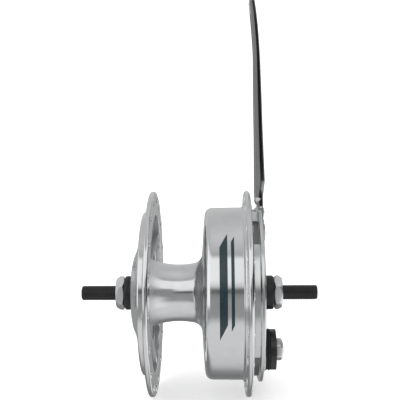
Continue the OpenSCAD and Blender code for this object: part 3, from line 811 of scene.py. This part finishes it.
def cam_lever():
    """A forged lever: a round hub, a tapering blade with a pressed groove, and a cable eye."""
    low, high = span_x("cam_lever")
    cable = mounts["cable_hole"]["pos_m"]
    run = math.hypot(cable[1], cable[2] - CAM_Z * MM) / MM
    slope = math.degrees(math.atan2(cable[2] / MM - CAM_Z, cable[1] / MM))
    hub_r, eye_r = 12.2, 6.0
    lean = math.degrees(math.asin((hub_r - eye_r) / run))
    outline = arc_at(hub_r, arc_range(90 - lean, 270 + lean, 36))
    outline += arc_at(eye_r, arc_range(-90 + lean, 90 - lean, 20), run)
    blade = prism_bm(outline, low, high, 0.45, 3)
    groove = arc_at(2.6, arc_range(90, 270, 10), 15) + arc_at(1.6, arc_range(-90, 90, 10), run - 11)
    bm = boolean_bm(blade, prism_bm(groove, high - 0.7, high + 1))
    bm = boolean_bm(bm, rod_bm(4, low - 1, high + 1, segments=48))
    bm = boolean_bm(bm, rod_bm(2.6, low - 0.6, high + 0.6, run, 0, 40, taper=1.0))
    moved(bm, (0, 0, CAM_Z), slope)
    plain("cam_lever", "cam", "black_painted_steel", bm, sharp=34)


def cam_nut():
    low, high = span_x("cam_nut")
    hex_nut("cam_nut", 12, 90, low, high, 0, CAM_Z, "cam", dome=low + 2.4)


def spindle():
    low, high = span_x("cam_spindle")
    shoulder = low + 18
    shaft = [(shoulder, 0), (shoulder, 6.6, 0.4), (shoulder + 1.8, 6.6, 0.3), (shoulder + 1.8, 5, 0.2),
             (42.6, 5, 0.2), (42.6, 4, 0.1), (46.0, 4, 0.2), (46.0, 3, 0.1), (high, 3, 0.5), (high, 0)]
    block = prism_bm([(-4, -4), (4, -4), (4, 4), (-4, 4)], low, shoulder + 0.2)
    bm = boolean_bm(lathe_bm(rounded(shaft), 64), block, "UNION")
    soften(bm, 0.25, 60)
    plain("cam_spindle", "cam", "machined_steel", moved(bm, (0, 0, CAM_Z)), sharp=34)


# ---------------------------------------------------------------- CAD nodes whose own shape is right
def dress_cad_nodes():
    """Gives every CAD node the procedural material that its slot in the record names, for those that are shown as
    they are.
    """
    slots = {s["node"]: s["material_slot"] for s in frame["record"]["subparts"]}
    for name, obj in frame["nodes"].items():
        material = MATERIALS[slots[name]]
        obj.data.materials.clear()
        obj.data.materials.append(material)


# ---------------------------------------------------------------- decoration on the drum
def drum_stripes():
    """Two plain stripes of dark paint along the drum's front, with slanted ends."""
    bm = bmesh.new()
    steps, columns, skin, slant = 60, 8, 0.04, 2.4
    for left, right, low, high in ((12.2, 16.6, -21, 38), (18.6, 20.4, -15, 42)):
        rows = []
        for k in range(steps + 1):
            row = []
            for i in range(columns + 1):
                x = left + (right - left) * i / columns
                angle = radians(low + (high - low) * k / steps + slant * (x - left))
                row.append([bm.verts.new((x, -radius * cos(angle), radius * sin(angle)))
                            for radius in (drum_radius(x) - skin, drum_radius(x) + skin)])
            rows.append(row)
        for a, b in zip(rows, rows[1:]):
            for i in range(columns):
                bm.faces.new((a[i][0], a[i + 1][0], b[i + 1][0], b[i][0]))
                bm.faces.new((a[i][1], b[i][1], b[i + 1][1], a[i + 1][1]))
            for i in (0, columns):
                bm.faces.new((a[i][0], b[i][0], b[i][1], a[i][1]))
        for row in (rows[0], rows[-1]):
            for i in range(columns):
                bm.faces.new((row[i][0], row[i][1], row[i + 1][1], row[i + 1][0]))
    paint = coated("stripe_paint", (0.006, 0.022, 0.03), (0.01, 0.032, 0.042), 0.22, 0.34, 0.000002, coat=0.4)
    add_mesh("drum_stripes", bm, "hub", paint)


# ---------------------------------------------------------------- stage, light and camera
def stage():
    """A plain white floor that curves up behind. Shiny parts mirror the studio light instead of it."""
    bm = bmesh.new()
    size, back, curve, floor_z = 3.0, 1.6, 0.6, cad_box[0][2]
    rows = [(-size, floor_z), (back - curve, floor_z)]
    rows += [(back - curve + curve * sin(radians(a)), floor_z + curve - curve * cos(radians(a)))
             for a in range(6, 91, 6)]
    rows += [(back, size)]
    line = [[bm.verts.new((x, y, z)) for x in (-size, size)] for y, z in rows]
    for a, b in zip(line, line[1:]):
        bm.faces.new((a[0], a[1], b[1], b[0]))
    mesh = bpy.data.meshes.new("floor")
    bm.to_mesh(mesh)
    bm.free()
    mesh.polygons.foreach_set("use_smooth", [True] * len(mesh.polygons))
    floor = bpy.data.objects.new("floor", mesh)
    floor.visible_glossy = False
    bpy.context.scene.collection.objects.link(floor)
    mesh.materials.append(Nodes(bpy.data.materials.new("floor")).shade(
        {"Base Color": (0.75, 0.75, 0.75, 1), "Roughness": 0.9, "Specular IOR Level": 0.0,
         "Emission Color": (1, 1, 1, 1), "Emission Strength": 0.5}))


# Brightness of the studio by elevation in degrees, in front of the object and behind it
FRONT_LIGHT = [(-90, 0.64), (-60, 0.72), (-31, 0.7), (-26, 0.5), (-21, 0.34), (1, 0.31), (7, 0.24), (9.5, 0.09),
               (13, 0.11), (16, 0.65), (23, 0.92), (53, 0.96), (58, 0.42), (66, 0.52), (85, 0.64), (90, 0.64)]
BACK_LIGHT = [(-90, 0.64), (-80, 0.56), (-74, 0.48), (-64, 0.28), (-50, 0.2), (-30, 0.24), (-10, 0.35),
              (18, 0.6), (35, 0.57), (50, 0.54), (70, 0.56), (90, 0.64)]
# Cards that stand beside the object: soft left and right edges in azimuth from the front, positive to the
# right, soft lower and upper edges in elevation, all in degrees, and the brightness
CARDS = [((-5, 9), (140, 160), (-10, -3), (20, 27), 0.3),
         ((26, 35), (100, 116), (-4, -1), (20, 30), 0.015),
         ((100, 116), (140, 160), (-4, -1), (20, 30), 0.17),
         ((6, 34), (150, 170), (-50, -40), (-9.5, -3.5), 0.95),
         ((-85, -70), (-35, -22), (-14, -6), (40, 52), 1.05),
         ((-125, -95), (-85, -70), (-10, -4), (35, 50), 0.45)]


def lights():
    """A soft studio: bands of light by elevation and cards at the sides, which round metal mirrors."""
    world = bpy.data.worlds.new("studio")
    bpy.context.scene.world = world
    n = Nodes(world)

    def between(value, low, high):
        """1 where the value lies between two soft edges, each given as (from, to)."""
        rise = n.remap(value, *low, 0, 1, interpolation_type="SMOOTHSTEP")
        fall = n.remap(value, *high, 1, 0, interpolation_type="SMOOTHSTEP")
        return n.maths("MULTIPLY", rise, fall)

    def band(stops, factor):
        return n.ramp(factor, [((angle + 90) / 180, grey(level)) for angle, level in stops])

    def mixed(factor, a, b):
        # a colour mix has its own pair of sockets after those for numbers and vectors
        return n.add("ShaderNodeMix", {0: factor, 6: a, 7: b}, data_type="RGBA", clamp_factor=True).outputs[2]

    generated = n.add("ShaderNodeTexCoord").outputs["Generated"]
    x, y, z = n.add("ShaderNodeSeparateXYZ", {"Vector": generated}).outputs
    share = n.maths("DIVIDE", n.maths("ADD", n.maths("ARCSINE", z), pi / 2), pi)
    elevation = n.maths("SUBTRACT", n.maths("MULTIPLY", share, 180), 90)
    azimuth = n.maths("MULTIPLY", n.maths("ARCTAN2", x, n.maths("MULTIPLY", y, -1)), 180 / pi)
    behind = n.maths("ADD", n.maths("MULTIPLY", y, 3), 0.5)
    colour = mixed(behind, band(FRONT_LIGHT, share), band(BACK_LIGHT, share))
    for left, right, low, high, level in CARDS:
        factor = n.maths("MULTIPLY", between(azimuth, left, right), between(elevation, low, high))
        colour = mixed(factor, colour, (level, level, level, 1))
    # the camera itself sees plain white beyond the floor
    colour = mixed(n.add("ShaderNodeLightPath").outputs["Is Camera Ray"], colour, (1, 1, 1, 1))
    n.fill(n.tree.nodes["Background"], {"Color": colour, "Strength": 1.0})

    # soft overhead light that whitens the floor and shades the matt parts; polished parts don't mirror it
    sun = bpy.data.lights.new("overhead", "SUN")
    sun.energy = 0.9
    sun.angle = radians(110)
    lamp = bpy.data.objects.new("overhead", sun)
    lamp.rotation_euler = (radians(22), radians(-12), 0)
    lamp.visible_glossy = False
    bpy.context.scene.collection.objects.link(lamp)
    bpy.context.scene.view_settings.view_transform = "Standard"


def camera():
    """The photograph's view: from the front, a little above the axle and to the right of the barrel."""
    place = (0.01059, -0.45277, 0.075)
    yaw, pitch, roll = radians(-1.231), radians(-2.368), radians(-0.44)
    forward = Vector((sin(yaw) * cos(pitch), cos(yaw) * cos(pitch), sin(pitch)))
    right = Vector((cos(yaw), -sin(yaw), 0))
    up = right.cross(forward)
    across = right * cos(roll) + up * sin(roll)
    over = up * cos(roll) - right * sin(roll)
    data = bpy.data.cameras.new("camera")
    data.sensor_width = 36
    data.lens = 67.5
    data.clip_start = 0.01
    obj = bpy.data.objects.new("camera", data)
    turn = Matrix((across, over, -forward)).transposed().to_4x4()
    obj.matrix_world = Matrix.Translation(place) @ turn
    bpy.context.scene.collection.objects.link(obj)
    bpy.context.scene.camera = obj


dress_cad_nodes()
axle()
nuts_and_spacers()
hub_shell()
drum_stripes()
dust_cap()
brake_plate()
reaction_arm()
rivet_heads()
cam_seal()
cam_lever()
cam_nut()
spindle()
stage()
lights()
camera()
